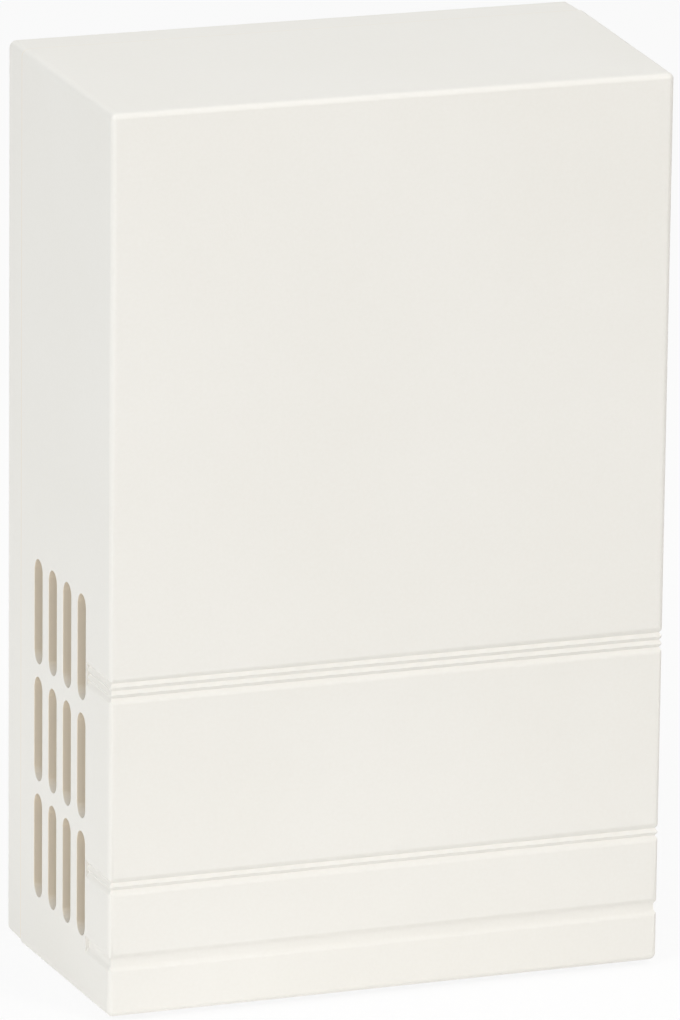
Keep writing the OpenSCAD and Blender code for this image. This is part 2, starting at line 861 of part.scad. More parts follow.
// Two rubber grommets whose waists fill the holes of the bar at bar_z
module grommets(bar_z) {
    waist_d = bar_hole_d - 2 * fit_gap;
    bore = peg_d + 2 * fit_gap;
    color("dimgray")
        for (side = [-1, 1])
            translate([side * bar_hole_x, axis_y, bar_z])
                rotate_extrude()
                    difference() {
                        union() {
                            translate([0, -grommet_t])
                                square([waist_d / 2, bar_t + 2 * grommet_t]);
                            translate([0, -grommet_t])
                                square([grommet_d / 2, grommet_t]);
                            translate([0, bar_t])
                                square([grommet_d / 2, grommet_t]);
                        }
                        translate([0, -2 * grommet_t])
                            square([bore / 2, bar_t + 4 * grommet_t]);
                    }
}

module upper_bar_grommets() {
    grommets(upper_bar_z);
}

module lower_bar_grommets() {
    grommets(lower_bar_z);
}

// Two push-on clips that lie on the grommets of the bar at bar_z
module clips(bar_z) {
    color("silver")
        for (side = [-1, 1])
            translate([side * bar_hole_x, axis_y, bar_z + bar_t + grommet_t + clip_t / 2])
                sleeve(clip_d, peg_d + 2 * fit_gap, clip_t);
}

module upper_bar_clips() {
    clips(upper_bar_z);
}

module lower_bar_clips() {
    clips(lower_bar_z);
}

module terminal_block() {
    ear_round = post_d / 2;
    ear_front_y = yoke_back_y - block_ear_t;
    block_bottom_z = block_mid_z - block_h / 2;
    pilot_d = terminal_screw_d + 4 * fit_gap;
    pilot_depth = terminal_screw_len - plate_t - clamp_t + eps;
    color("oldlace")
        difference() {
            union() {
                translate([-block_x - block_w / 2, block_front_y, block_bottom_z])
                    cube([block_w, block_d, block_h]);
                translate([block_screw_x - block_ear_x - eps, ear_front_y, block_mid_z - ear_round])
                    cube([block_ear_x + eps, block_ear_t, post_d]);
                translate([block_screw_x, yoke_back_y, block_mid_z])
                    rotate([90, 0, 0])
                        cylinder(r = ear_round, h = block_ear_t);
                for (x = [-block_w / 2 + fence_t / 2, 0, block_w / 2 - fence_t / 2])
                    translate([x - block_x - fence_t / 2, block_front_y - fence_h, block_bottom_z])
                        cube([fence_t, fence_h + eps, block_h]);
            }
            translate([block_screw_x, yoke_back_y + eps, block_mid_z])
                rotate([90, 0, 0])
                    cylinder(d = screw_d + 2 * fit_gap, h = block_ear_t + 2 * eps);
            for (x = [left_terminal_x, right_terminal_x])
                translate([x, block_front_y + pilot_depth, block_mid_z])
                    rotate([90, 0, 0])
                        cylinder(d = pilot_d, h = pilot_depth + eps);
        }
}

module terminal_block_screw() {
    shank = block_ear_t + screw_bite - eps;
    color("lightsteelblue")
        translate([block_screw_x, yoke_back_y - block_ear_t, block_mid_z])
            slotted_screw(screw_d, shank, screw_head_d, screw_head_h, block_slot_turn);
}

module terminal_plate(x) {
    color("gold")
        difference() {
            union() {
                translate([x - plate_w / 2, plate_front_y, block_mid_z - block_h / 2])
                    cube([plate_w, plate_t, block_h]);
                translate([x - tag_w / 2, plate_front_y, block_top_z - eps])
                    cube([tag_w, plate_t, tag_h + eps]);
            }
            translate([x, block_front_y + eps, block_mid_z])
                rotate([90, 0, 0])
                    cylinder(d = terminal_screw_d + 2 * fit_gap, h = plate_t + 2 * eps);
            translate([x, block_front_y + eps, tag_z])
                rotate([90, 0, 0])
                    cylinder(d = tag_hole_d, h = plate_t + 2 * eps);
        }
}

module left_terminal_plate() {
    terminal_plate(left_terminal_x);
}

module right_terminal_plate() {
    terminal_plate(right_terminal_x);
}

module clamp_washer(x) {
    color("gold")
        difference() {
            translate([x - clamp_w / 2, clamp_front_y, block_mid_z - clamp_w / 2])
                cube([clamp_w, clamp_t, clamp_w]);
            translate([x, plate_front_y + eps, block_mid_z])
                rotate([90, 0, 0])
                    cylinder(d = terminal_screw_d + 2 * fit_gap, h = clamp_t + 2 * eps);
        }
}

module left_clamp_washer() {
    clamp_washer(left_terminal_x);
}

module right_clamp_washer() {
    clamp_washer(right_terminal_x);
}

module terminal_screw(x, slot_turn) {
    color("khaki")
        translate([x, clamp_front_y, block_mid_z])
            slotted_screw(terminal_screw_d, terminal_screw_len, terminal_head_d, terminal_head_h, slot_turn);
}

module left_terminal_screw() {
    terminal_screw(left_terminal_x, left_slot_turn);
}

module right_terminal_screw() {
    terminal_screw(right_terminal_x, right_slot_turn);
}

front_cover();
rear_base();
coil_bobbin();
coil_winding();
coil_wrap();
guide_tube();
solenoid_yoke();
yoke_screws();
plunger_core();
upper_striker();
lower_striker();
plunger_spring();
spring_seat();
upper_tone_bar();
lower_tone_bar();
upper_bar_grommets();
lower_bar_grommets();
upper_bar_clips();
lower_bar_clips();
terminal_block();
terminal_block_screw();
left_terminal_plate();
right_terminal_plate();
left_clamp_washer();
right_clamp_washer();
left_terminal_screw();
right_terminal_screw();
left_coil_lead();
right_coil_lead();
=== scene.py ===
import math
import bmesh
import bpy
from mathutils import Matrix, Vector


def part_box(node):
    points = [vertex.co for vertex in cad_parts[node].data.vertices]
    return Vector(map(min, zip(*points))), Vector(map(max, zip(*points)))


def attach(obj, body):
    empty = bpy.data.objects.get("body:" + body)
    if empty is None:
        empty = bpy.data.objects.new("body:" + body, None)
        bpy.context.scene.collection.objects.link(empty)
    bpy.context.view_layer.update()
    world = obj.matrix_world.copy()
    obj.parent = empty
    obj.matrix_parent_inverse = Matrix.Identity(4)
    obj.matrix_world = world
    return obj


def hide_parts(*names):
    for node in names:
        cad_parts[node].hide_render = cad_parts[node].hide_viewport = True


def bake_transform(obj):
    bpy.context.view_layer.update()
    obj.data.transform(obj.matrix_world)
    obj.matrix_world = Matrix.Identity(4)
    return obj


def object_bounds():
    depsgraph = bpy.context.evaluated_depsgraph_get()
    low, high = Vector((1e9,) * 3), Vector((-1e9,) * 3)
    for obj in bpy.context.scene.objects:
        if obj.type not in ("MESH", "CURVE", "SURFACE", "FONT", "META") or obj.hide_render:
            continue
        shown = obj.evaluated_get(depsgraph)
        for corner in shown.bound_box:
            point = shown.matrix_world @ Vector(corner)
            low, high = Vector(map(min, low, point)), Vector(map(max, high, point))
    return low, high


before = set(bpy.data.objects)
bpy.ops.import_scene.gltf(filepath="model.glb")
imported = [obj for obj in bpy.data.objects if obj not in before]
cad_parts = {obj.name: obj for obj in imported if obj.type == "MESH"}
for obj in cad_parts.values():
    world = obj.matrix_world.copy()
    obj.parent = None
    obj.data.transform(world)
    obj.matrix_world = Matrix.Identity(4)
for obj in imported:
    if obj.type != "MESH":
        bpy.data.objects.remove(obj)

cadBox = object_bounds()
mm = 0.001  # bmeshes are shaped in millimetres and scaled when they become pieces
origin = (0, 0, 0)
scene = bpy.context.scene
scene.view_settings.view_transform = "Standard"


def boxMm(node):
    low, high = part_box(node)
    return low / mm, high / mm


def roundSize(node):  # radius, half height and middle of a piece that is round about Z
    low, high = boxMm(node)
    return (high.x - low.x) / 2, (high.z - low.z) / 2, (low + high) / 2


cameraSettings = {
    "target": (-7.225, -41.0, 5.79),  # seen at the middle of the picture
    "distance": 1239.5,
    "azimuth": -19.97,
    "elevation": 16.0,
    "roll": 0.65,
    "lens": 331.9,
}


def setCamera(s):
    azimuth, elevation, roll = (math.radians(s[k]) for k in ("azimuth", "elevation", "roll"))
    level = math.cos(elevation)
    ahead = Vector((-math.sin(azimuth) * level, math.cos(azimuth) * level, -math.sin(elevation)))
    right = ahead.cross(Vector((0, 0, 1))).normalized()
    up = right.cross(ahead)
    rolledRight = math.cos(roll) * right + math.sin(roll) * up
    rolledUp = math.cos(roll) * up - math.sin(roll) * right
    data = bpy.data.cameras.new("photoCamera")
    data.lens = s["lens"]
    camera = bpy.data.objects.new("photoCamera", data)
    turn = Matrix((rolledRight, rolledUp, -ahead)).transposed().to_4x4()
    camera.matrix_world = Matrix.Translation((Vector(s["target"]) - ahead * s["distance"]) * mm) @ turn
    scene.collection.objects.link(camera)
    scene.camera = camera


setCamera(cameraSettings)
print("camera set")


class Shade:  # a socket that can be used in sums; each sum adds its Math node
    def __init__(self, tree, socket=None):
        self.tree = tree
        self.socket = socket

    def node(self, kind, settings={}, inputs={}, output=0):
        made = self.tree.nodes.new("ShaderNode" + kind)
        for key, value in settings.items():
            setattr(made, key, value)
        for key, value in inputs.items():
            if isinstance(value, Shade):
                self.tree.links.new(value.socket, made.inputs[key])
            else:
                made.inputs[key].default_value = value
        return Shade(self.tree, made.outputs[output])

    def calc(self, operation, other):
        return self.node("Math", {"operation": operation}, {0: self, 1: other})

    def __add__(self, other):
        return self.calc("ADD", other)

    def __sub__(self, other):
        return self.calc("SUBTRACT", other)

    def __mul__(self, other):
        return self.calc("MULTIPLY", other)

    def limited(self):
        return self.node("Clamp", {}, {"Value": self})

    def to(self, node, socket):
        self.tree.links.new(self.socket, node.inputs[socket])


def opaque(colour):
    return (*colour, 1)


def mixedColour(root, share, first, second):  # by the numbers of the Mix node's colour sockets
    return root.node("Mix", {"data_type": "RGBA"}, {0: share, 6: first, 7: second}, 2)


def seenItself(root):  # 1 for rays that show a thing itself, 0 for those that only light another
    kinds = ("Is Camera Ray", "Is Glossy Ray", "Is Transmission Ray")
    camera, glossy, through = (root.node("LightPath", output=kind) for kind in kinds)
    return (camera + glossy + through).limited()


lightSettings = {
    "white": (1, 1, 1, 1),
    "skyLevel": 0.35,  # what the sky gives to the object
    "floorSize": 6,  # metres to each side
    "floorColour": (0.85, 0.85, 0.85, 1),
    "floorGlow": 0.88,  # share of plain white that the camera sees in the floor
    "bounce": 0.46,  # light that the floor near the object throws back up
    "bounceReach": 0.27,  # metres
    "bounceMiddle": (-0.12, -0.02, -0.06),
    "lamps": [
        # name, place, aim, size in metres, watts, colour
        ("keyLamp", (0.6, -1.1, 1.05), (0, -0.03, 0), 0.5, 8.5, (1.0, 0.962, 0.92)),
        ("leftLamp", (-1.0, -0.6, 0.68), (0, -0.02, 0), 0.7, 8.2, (0.97, 0.9915, 1.0)),
        ("topLamp", (0.25, 0.0, 1.58), (0, -0.02, 0), 1.0, 5.9, (0.93, 0.975, 1.0)),
    ],
}


def setSky(s):
    world = bpy.data.worlds.new("paleSky")
    scene.world = world
    world.use_nodes = True
    sky = world.node_tree.nodes["Background"]
    level = seenItself(Shade(world.node_tree)) * (1 - s["skyLevel"]) + s["skyLevel"]
    level.to(sky, "Strength")
    sky.inputs["Color"].default_value = s["white"]


def setLamps(s):
    for name, place, aim, size, watts, colour in s["lamps"]:
        data = bpy.data.lights.new(name, "AREA")
        data.shape = "DISK"
        data.size = size
        data.energy = watts
        data.color = colour
        lamp = bpy.data.objects.new(name, data)
        lamp.location = place
        lamp.rotation_euler = (Vector(aim) - Vector(place)).to_track_quat("-Z", "Y").to_euler()
        scene.collection.objects.link(lamp)


def setFloor(s):
    bm = bmesh.new()
    bmesh.ops.create_grid(bm, x_segments=1, y_segments=1, size=s["floorSize"])
    bmesh.ops.translate(bm, vec=(0, 0, cadBox[0][2]), verts=bm.verts)
    mesh = bpy.data.meshes.new("paleFloor")
    bm.to_mesh(mesh)
    bm.free()
    floor = bpy.data.objects.new("paleFloor", mesh)
    scene.collection.objects.link(floor)
    material = bpy.data.materials.new("floorPaper")
    material.use_nodes = True
    tree = material.node_tree
    tree.nodes.remove(tree.nodes["Principled BSDF"])
    root = Shade(tree)
    paper = root.node("BsdfDiffuse", {}, {"Color": s["floorColour"]})
    plain = root.node("Emission", {}, {"Color": s["white"], "Strength": 1.0})
    seenPaper = root.node("MixShader", {}, {0: seenItself(root) * s["floorGlow"], 1: paper, 2: plain})
    place = root.node("TexCoord", output="Object")
    reach = s["bounceReach"]
    shift = [-c / reach for c in s["bounceMiddle"]]
    near = root.node("Mapping", {}, {"Vector": place, "Location": shift, "Scale": (1 / reach,) * 3})
    fading = root.node("TexGradient", {"gradient_type": "SPHERICAL"}, {"Vector": near}, 1)
    thrown = fading * root.node("LightPath", output="Is Diffuse Ray") * s["bounce"]
    glow = root.node("Emission", {}, {"Color": s["white"], "Strength": thrown})
    root.node("AddShader", {}, {0: seenPaper, 1: glow}).to(tree.nodes["Material Output"], "Surface")
    mesh.materials.append(material)


setSky(lightSettings)
setLamps(lightSettings)
setFloor(lightSettings)
print("lights and floor set")

grainSettings = {
    "contrast": 2.4,  # spreads the mixed grains over both colours
    "cut": 0.7,
    "broadDetail": 3.0,
    "fineDetail": 2.0,
    "ringScale": 0.314,  # wave scale that sets turning marks one length apart
    "ringWobble": 0.6,
    "ringShare": 0.5,
}
# each finish: two colours mixed by a broad and a fine grain, a roughness range and a bump
finishSettings = {
    "case_plastic": {
        "colours": ((0.797, 0.777, 0.73), (0.82, 0.803, 0.764)), "broad": 28, "fine": 0.5, "fineShare": 0.45,
        "rough": (0.42, 0.55), "bump": (0.32, 0.012), "specular": 0.2,
        "paintedShadeColour": (0.82, 0.722, 0.582),  # painted shade: colour put on the walls within the sound slots and on the joint, in place of the shade that falls there
    },
    "natural_nylon": {
        "colours": ((0.76, 0.73, 0.63), (0.85, 0.83, 0.76)), "broad": 5, "fine": 0.4, "fineShare": 0.3,
        "rough": (0.3, 0.45), "bump": (0.5, 0.01), "sub": (0.25, (1.0, 0.85, 0.6), 1.5),
    },
    "terminal_plastic": {
        "colours": ((0.74, 0.7, 0.61), (0.82, 0.79, 0.72)), "broad": 9, "fine": 0.35, "fineShare": 0.4,
        "rough": (0.35, 0.5), "bump": (0.25, 0.012),
    },
    "copper_wire": {
        "colours": ((0.4, 0.13, 0.045), (0.7, 0.3, 0.13)), "broad": 2.2, "fine": 0.4, "fineShare": 0.35,
        "rough": (0.2, 0.36), "bump": (0.15, 0.004), "metal": 1.0, "coat": 0.5,
    },
    "film_wrap": {
        "colours": ((0.66, 0.46, 0.09), (0.82, 0.64, 0.2)), "broad": 6, "fine": 0.8, "fineShare": 0.4,
        "stretch": (1, 1, 0.15), "rough": (0.16, 0.32), "bump": (1.2, 0.05), "coat": 0.3,
    },
    "lead_insulation": {
        "colours": ((0.4, 0.03, 0.025), (0.56, 0.07, 0.05)), "broad": 4, "fine": 0.5, "fineShare": 0.4,
        "rough": (0.32, 0.48), "bump": (0.35, 0.012),
    },
    "brass": {
        "colours": ((0.55, 0.37, 0.13), (0.8, 0.62, 0.3)), "broad": 4, "fine": 0.3, "fineShare": 0.35,
        "stretch": (0.12, 1, 1), "rough": (0.2, 0.38), "bump": (0.12, 0.004), "metal": 1.0,
    },
    "plated_steel": {
        "colours": ((0.5, 0.51, 0.5), (0.7, 0.7, 0.66)), "broad": 5, "fine": 0.35, "fineShare": 0.4,
        "stretch": (1, 1, 0.2), "rough": (0.24, 0.42), "bump": (0.15, 0.006), "metal": 1.0,
    },
    "core_steel": {
        "colours": ((0.3, 0.3, 0.3), (0.5, 0.5, 0.49)), "broad": 5, "fine": 0.25, "fineShare": 0.5,
        "stretch": (0.1, 0.1, 1), "rough": (0.28, 0.46), "bump": (0.2, 0.01), "metal": 1.0, "rings": 0.35,
    },
    "spring_steel": {
        "colours": ((0.38, 0.38, 0.4), (0.6, 0.6, 0.6)), "broad": 2, "fine": 0.2, "fineShare": 0.4,
        "rough": (0.18, 0.34), "bump": (0.1, 0.003), "metal": 1.0,
    },
    "bar_steel": {
        "colours": ((0.55, 0.54, 0.52), (0.72, 0.71, 0.69)), "broad": 9, "fine": 0.3, "fineShare": 0.6,
        "stretch": (0.03, 1, 1), "rough": (0.18, 0.36), "bump": (0.2, 0.008), "metal": 1.0,
    },
    "fibre": {
        "colours": ((0.24, 0.085, 0.05), (0.44, 0.19, 0.12)), "broad": 2.5, "fine": 0.25, "fineShare": 0.55,
        "stretch": (1, 0.25, 1), "rough": (0.6, 0.85), "bump": (0.25, 0.03),
    },
    "grommet_rubber": {
        "colours": ((0.022, 0.022, 0.023), (0.06, 0.058, 0.056)), "broad": 3, "fine": 0.3, "fineShare": 0.4,
        "rough": (0.55, 0.8), "bump": (0.25, 0.02),
    },
    "solder": {
        "colours": ((0.5, 0.5, 0.5), (0.78, 0.78, 0.76)), "broad": 0.9, "fine": 0.2, "fineShare": 0.4,
        "rough": (0.2, 0.5), "bump": (0.3, 0.02), "metal": 1.0,
    },
}


def makeFinish(name, s, grain):
    material = bpy.data.materials.new(name)
    material.use_nodes = True
    tree = material.node_tree
    surface = tree.nodes["Principled BSDF"]
    root = Shade(tree)
    place = root.node("TexCoord", output="Object")
    along = root.node("Mapping", {}, {"Vector": place, "Scale": s.get("stretch", (1, 1, 1))})

    def noise(where, size, detail):
        return root.node("TexNoise", {}, {"Vector": where, "Scale": 1 / (size * mm), "Detail": detail})

    broad = noise(place, s["broad"], grain["broadDetail"])
    fine = noise(along, s["fine"], grain["fineDetail"])
    mixed = broad * (1 - s["fineShare"]) + fine * s["fineShare"]
    share = (mixed * grain["contrast"] - grain["cut"]).limited()
    colour = mixedColour(root, share, *map(opaque, s["colours"]))
    # painted shade: the slots' walls and the joint take the painted shade colour, by the amount stored on
    # each face
    if "paintedShadeColour" in s:
        paintedAmount = root.node("Attribute", {"attribute_name": "paintedShadeAmount"}, {}, "Fac")
        colour = mixedColour(root, paintedAmount, colour, opaque(s["paintedShadeColour"]))
    colour.to(surface, "Base Color")
    smoothest, roughest = s["rough"]
    (fine * (roughest - smoothest) + smoothest).to(surface, "Roughness")
    grainSize, depth = s["bump"]
    height = noise(along, grainSize, grain["fineDetail"])
    if "rings" in s:  # turning marks across the length
        bands = {"wave_type": "BANDS", "bands_direction": "Z"}
        scale = grain["ringScale"] / (s["rings"] * mm)
        inputs = {"Vector": place, "Scale": scale, "Distortion": grain["ringWobble"]}
        wave = root.node("TexWave", bands, inputs, 1)
        height = height * (1 - grain["ringShare"]) + wave * grain["ringShare"]
    bump = root.node("Bump", {}, {"Strength": 1.0, "Distance": depth * mm, "Height": height})
    bump.to(surface, "Normal")
    surface.inputs["Metallic"].default_value = s.get("metal", 0.0)
    surface.inputs["Coat Weight"].default_value = s.get("coat", 0.0)
    surface.inputs["Specular IOR Level"].default_value = s.get("specular", 0.5)
    if "sub" in s:
        weight, radius, scale = s["sub"]
        surface.inputs["Subsurface Weight"].default_value = weight
        surface.inputs["Subsurface Radius"].default_value = radius
        surface.inputs["Subsurface Scale"].default_value = scale * mm
    return material


finishes = {name: makeFinish(name, s, grainSettings) for name, s in finishSettings.items()}
print("finishes made", len(finishes))


def finishPiece(bm, name, finish, body, nodes=(), smooth=40, turnOut=True, slot=None):
    slot = slot or finish
    if turnOut:
        bmesh.ops.remove_doubles(bm, verts=bm.verts, dist=0.001)
        bmesh.ops.recalc_face_normals(bm, faces=bm.faces)
    bmesh.ops.scale(bm, vec=(mm, mm, mm), verts=bm.verts)
    mesh = bpy.data.meshes.new(name)
    bm.to_mesh(mesh)
    bm.free()
    if "custom_normal" in mesh.attributes:  # normals kept from the solid no longer fit its copy
        mesh.attributes.remove(mesh.attributes["custom_normal"])
    mesh.shade_smooth()
    mesh.set_sharp_from_angle(angle=math.radians(smooth))
    mesh.materials.append(finishes[finish])
    piece = bpy.data.objects.new(name, mesh)
    scene.collection.objects.link(piece)
    evened = piece.modifiers.new("evened", "WEIGHTED_NORMAL")
    evened.keep_sharp = True
    if body:
        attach(piece, body)
    if nodes:
        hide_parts(*nodes)
    return piece


def bevelSharp(bm, width, segments=3, corner=30, span=(-math.inf, math.inf)):
    sharp = [  # only edges within the span of Y
        e for e in bm.edges
        if len(e.link_faces) == 2 and e.calc_face_angle(0) > math.radians(corner)
        and all(span[0] < v.co.y < span[1] for v in e.verts)
    ]
    bmesh.ops.bevel(
        bm, geom=sharp, offset=width, offset_type="OFFSET", segments=segments, profile=0.5,
        affect="EDGES", clamp_overlap=False, material=-1,
    )


def solidCopy(node, weld=0.003, flat=0.3):  # the node's solid with whole faces, in millimetres
    bm = bmesh.new()
    bm.from_mesh(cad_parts[node].data)
    bmesh.ops.scale(bm, vec=(1 / mm, 1 / mm, 1 / mm), verts=bm.verts)
    bmesh.ops.remove_doubles(bm, verts=bm.verts, dist=weld)
    bmesh.ops.dissolve_limit(bm, angle_limit=math.radians(flat), verts=bm.verts, edges=bm.edges)
    return bm


def solidPiece(node, name, finish, body, edge):  # the node's solid with its edges rounded
    bm = solidCopy(node)
    bevelSharp(bm, edge)
    finishPiece(bm, name, finish, body, [node], turnOut=False)


def turnAbout(bm, angle, axis, verts=None):
    bmesh.ops.rotate(bm, cent=origin, matrix=Matrix.Rotation(angle, 3, axis), verts=verts or bm.verts)


def linkedEdges(verts):  # each once, in order
    return list(dict.fromkeys(e for v in verts for e in v.link_edges))


def openEdges(verts):
    return [e for e in linkedEdges(verts) if e.is_boundary]


def spunShape(bm, profile, centre, steps=64):
    old = set(bm.verts)
    verts = [bm.verts.new((r, 0, z)) for r, z in profile]
    edges = [bm.edges.new((a, b)) for a, b in zip(verts, verts[1:])]
    bmesh.ops.spin(
        bm, geom=verts + edges, cent=origin, axis=(0, 0, 1), angle=2 * math.pi, steps=steps, use_merge=True
    )
    bmesh.ops.remove_doubles(bm, verts=[v for v in bm.verts if v not in old], dist=0.001)
    bmesh.ops.translate(bm, vec=centre, verts=[v for v in bm.verts if v not in old])


def spunRing(bm, inner, outer, low, high, centre, steps=64):
    spunShape(bm, [(inner, low), (outer, low), (outer, high), (inner, high), (inner, low)], centre, steps)


def domeProfile(radius, top, steps=8):  # from the rim in to the pole
    angles = [math.pi / 2 * i / steps for i in range(steps + 1)]
    return [(radius * math.cos(a), top - radius + radius * math.sin(a)) for a in angles]


def coiledWire(bm, radius, wire, foot, stretches, centre, sides, perTurn):
    old = set(bm.verts)
    height = foot
    for turns, pitch in stretches:  # one turn is spun, and the others are copies of it
        before = set(bm.verts)
        upright = Matrix.Translation((radius, 0, height)) @ Matrix.Rotation(math.pi / 2, 4, "X")
        circle = bmesh.ops.create_circle(bm, cap_ends=False, segments=sides, radius=wire / 2, matrix=upright)
        ring = circle["verts"]
        bmesh.ops.spin(
            bm, geom=ring + linkedEdges(ring), cent=origin, axis=(0, 0, 1), dvec=(0, 0, pitch / perTurn),
            angle=2 * math.pi, steps=perTurn, use_merge=False,
        )
        turn = [v for v in bm.verts if v not in before]
        turn += linkedEdges(turn) + list(dict.fromkeys(f for v in turn for f in v.link_faces))
        for i in range(1, turns):
            copy = bmesh.ops.duplicate(bm, geom=turn)["geom"]
            copied = [g for g in copy if isinstance(g, bmesh.types.BMVert)]
            bmesh.ops.translate(bm, vec=(0, 0, i * pitch), verts=copied)
        height += turns * pitch
    bmesh.ops.remove_doubles(bm, verts=[v for v in bm.verts if v not in old], dist=0.01)
    new = [v for v in bm.verts if v not in old]
    bmesh.ops.holes_fill(bm, edges=openEdges(new), sides=sides)
    bmesh.ops.translate(bm, vec=centre, verts=new)


def curveThrough(points, steps):  # a smooth run through all the points
    p = [Vector(q) for q in points]
    run = []
    for i in range(len(p) - 1):
        a, b, c, d = p[max(i - 1, 0)], p[i], p[i + 1], p[min(i + 2, len(p) - 1)]
        for k in range(steps):
            t = k / steps
            run.append(b + t / 2 * (c - a + t * (2 * a - 5 * b + 4 * c - d + t * (3 * b - a - 3 * c + d))))
    return run + [p[-1]]


def shapedMesh(thing):  # what an object's curve or modifiers make
    bpy.context.view_layer.update()
    return bpy.data.meshes.new_from_object(thing.evaluated_get(bpy.context.evaluated_depsgraph_get()))


def wireAlong(bm, points, radius):
    data = bpy.data.curves.new("wireRun", "CURVE")
    data.dimensions = "3D"
    data.bevel_depth = radius
    data.bevel_resolution = 3
    data.use_fill_caps = True
    spline = data.splines.new("POLY")
    spline.points.add(len(points) - 1)
    for point, place in zip(spline.points, points):
        point.co = (*place, 1)
    run = bpy.data.objects.new("wireRun", data)
    scene.collection.objects.link(run)
    mesh = shapedMesh(run)
    bm.from_mesh(mesh)
    bpy.data.objects.remove(run)
    bpy.data.curves.remove(data)
    bpy.data.meshes.remove(mesh)


rightLead = {
    "radius": 0.6,
    "bareRadius": 0.3,
    "steps": 8,  # between two points
    "bareAfter": 60,  # steps from the coil, after which the insulation can end
    "bareFrom": -12.6,  # the insulation ends here, short of the tag
    "bareInside": 0.8,  # of the bare end, within the insulation
    "points": [
        (-10.75, -20, -12.5), (-11.4, -17, -13), (-12.4, -13, -16), (-12.4, -9, -21), (-11, -5.8, -26),
        (-9.5, -5, -31), (-9.5, -5.2, -37.5), (-10.8, -6.6, -43.2), (-12, -10, -44.75), (-12, -13, -44.75),
        (-12, -15.6, -44.75),
    ],
}


def makeRightLead(s):
    run = curveThrough(s["points"], s["steps"])
    covered = [p for i, p in enumerate(run) if i < s["bareAfter"] or p.y > s["bareFrom"]]
    bm = bmesh.new()
    wireAlong(bm, covered, s["radius"])
    finishPiece(bm, "rightLeadInsulation", "lead_insulation", "base", ["right_coil_lead"])
    tag = run[-1]
    start = Vector((tag.x, s["bareFrom"] + s["bareInside"], tag.z))
    bm = bmesh.new()
    wireAlong(bm, [start] + run[len(covered):], s["bareRadius"])
    finishPiece(bm, "rightLeadBareEnd", "copper_wire", "base")


leftLead = {
    "radius": 0.4,
    "steps": 8,  # between two points
    "start": [
        (-10.55, -20, -10), (-11.2, -17, -10.4), (-14, -12, -12), (-20, -7, -17.5), (-25, -5, -25),
        (-27, -4.8, -33), (-29, -4.2, -40.5), (-31, -3.5, -45.9), (-33, -3.3, -47.4),
    ],
    "pigtailTop": (-34.8, -4.9, -47.5),
    "pigtailRadius": 1.6,
    "pigtailStep": -1.5,
    "pigtailTurns": 4.5,
    "pigtailSides": 24,  # steps in a turn
    "end": [
        (-33, -6.8, -54.4), (-32.4, -8.2, -52.5), (-32.4, -8.5, -49), (-32, -8.5, -46.4), (-30.6, -8.5, -45),
        (-27.5, -8.6, -44.75), (-25, -9.2, -44.75), (-24, -11, -44.75), (-24, -13.4, -44.75),
        (-24, -15.6, -44.75),
    ],
}


def makeLeftLead(s):
    top, radius, sides = Vector(s["pigtailTop"]), s["pigtailRadius"], s["pigtailSides"]
    turns = []
    for i in range(round(s["pigtailTurns"] * sides) + 1):
        angle = math.pi / 2 + 2 * math.pi * i / sides
        drop = s["pigtailStep"] * i / sides
        turns.append(top + Vector((radius * math.cos(angle), radius * math.sin(angle), drop)))
    run = curveThrough(s["start"] + [turns[0]], s["steps"]) + turns[1:-1]
    run += curveThrough([turns[-1]] + s["end"], s["steps"])
    bm = bmesh.new()
    wireAlong(bm, run, s["radius"])
    finishPiece(bm, "leftLeadWire", "copper_wire", "base", ["left_coil_lead"])


makeRightLead(rightLead)
makeLeftLead(leftLead)
print("coil leads laid")

caseSettings = {
    "coverEdge": 0.1,
    "baseEdge": 0.25,
    "grooveRun": 9.2,  # the grooves' own edges lie within this distance of the front
    "rearEdge": 0.5,  # the cover's edges stay sharp within this distance of its rear
    "wall": 2.6,  # the slots' walls lie within this distance of the sides
    "wallTilt": 0.3,  # most that a slot's wall looks sideways
    "rearMargin": 1.0,
    "slotPaintedShade": 0.95,  # share of the painted shade colour on the slots' walls, standing in for their shade
    "upFacingLight": 0.6,  # taken from it on the lower ends, which face up, so they are painted lighter as if lit from above
    "rim": 1.0,
    "joint": 0.5,  # the open line between cover and base, with the base's rounded edge
    "jointPaintedShade": 0.6,  # share of the painted shade colour within it: a painted shadow line at the joint
}


def makeCase(s):
    low, high = boxMm("front_cover")
    grooveEnd = low.y + s["grooveRun"]
    bm = solidCopy("front_cover")
    shadeLayer = bm.faces.layers.float.new("paintedShadeAmount")
    # painted shade on the slots' walls, less on faces that look up (painted light from above)
    for face in bm.faces:
        middle = face.calc_center_median()
        inWall = abs(middle.x) > high.x - s["wall"] and abs(middle.z) < high.z - s["wall"]
        behind = grooveEnd < middle.y < high.y - s["rearMargin"]
        if inWall and behind and abs(face.normal.x) < s["wallTilt"]:
            face[shadeLayer] = min(max(s["slotPaintedShade"] - s["upFacingLight"] * face.normal.z, 0), 1)
    bevelSharp(bm, s["coverEdge"], span=(grooveEnd, high.y - s["rearEdge"]))
    finishPiece(bm, "coverShell", "case_plastic", "cover", ["front_cover"], turnOut=False)

    bm = solidCopy("rear_base")
    bevelSharp(bm, s["baseEdge"])
    shadeLayer = bm.faces.layers.float.new("paintedShadeAmount")
    # painted shadow: the base's rounded edge just behind the cover takes the painted shade colour
    for face in bm.faces:
        middle = face.calc_center_median()
        atSide = abs(middle.x) > high.x - s["rim"] or abs(middle.z) > high.z - s["rim"]
        if atSide and high.y < middle.y < high.y + s["joint"]:
            face[shadeLayer] = s["jointPaintedShade"]
    finishPiece(bm, "baseShell", "case_plastic", "base", ["rear_base"], turnOut=False)


makeCase(caseSettings)
print("case made")

